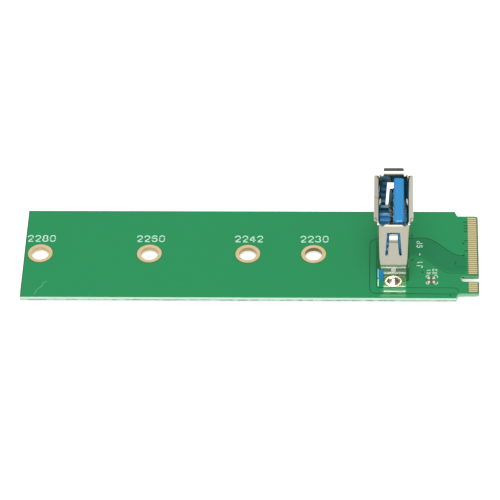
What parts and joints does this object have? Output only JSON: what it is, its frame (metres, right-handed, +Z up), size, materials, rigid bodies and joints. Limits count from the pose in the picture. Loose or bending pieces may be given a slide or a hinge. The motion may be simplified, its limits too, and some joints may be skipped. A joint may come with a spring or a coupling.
{
  "type": "gumstick slot to usb receptacle adapter",
  "caption": "Narrow green adapter card with a keyed gold card edge, plated fastening holes at standard card lengths, and an upright blue host receptacle in a folded nickel shell.",
  "frame": {"origin": "centre of the card-edge tip's face, halfway through the card's thickness", "axes": "+X out of the card-edge tip, +Y across the card away from its key notch, +Z up through the receptacle's mouth"},
  "size_m": [0.0829, 0.022, 0.017],
  "materials": {
    "green_solder_mask": "glossy green solder mask over glass-fibre laminate",
    "gold_plating": "thin matt gold over nickel",
    "nickel_shell": "bright nickel-plated sheet, nearly a mirror",
    "blue_moulding": "smooth moulded nylon, slightly glossy",
    "contact_plating": "gold-flashed spring bronze",
    "solder": "bright wetted solder"
  },
  "bodies": {
    "root": {"circuit_board": "green_solder_mask", "edge_contacts_top": "gold_plating", "edge_contacts_bottom": "gold_plating", "screw_hole_plating_2230": "gold_plating", "screw_hole_plating_2242": "gold_plating", "screw_hole_plating_2260": "gold_plating", "screw_hole_plating_2280": "gold_plating", "shield_hole_plating_near": "gold_plating", "shield_hole_plating_far": "gold_plating", "hole_platings_power_row": "gold_plating", "hole_platings_high_speed_row": "gold_plating", "resistor_pads": "solder", "receptacle_shell": "nickel_shell", "receptacle_insulator": "blue_moulding", "shield_solder_near": "solder", "shield_solder_far": "solder", "solder_joints_power_row": "solder", "solder_joints_high_speed_row": "solder", "contact_power": "contact_plating", "contact_data_minus": "contact_plating", "contact_data_plus": "contact_plating", "contact_ground": "contact_plating", "contact_receive_minus": "contact_plating", "contact_receive_plus": "contact_plating", "contact_drain": "contact_plating", "contact_transmit_minus": "contact_plating", "contact_transmit_plus": "contact_plating"}
  },
  "joints": []
}
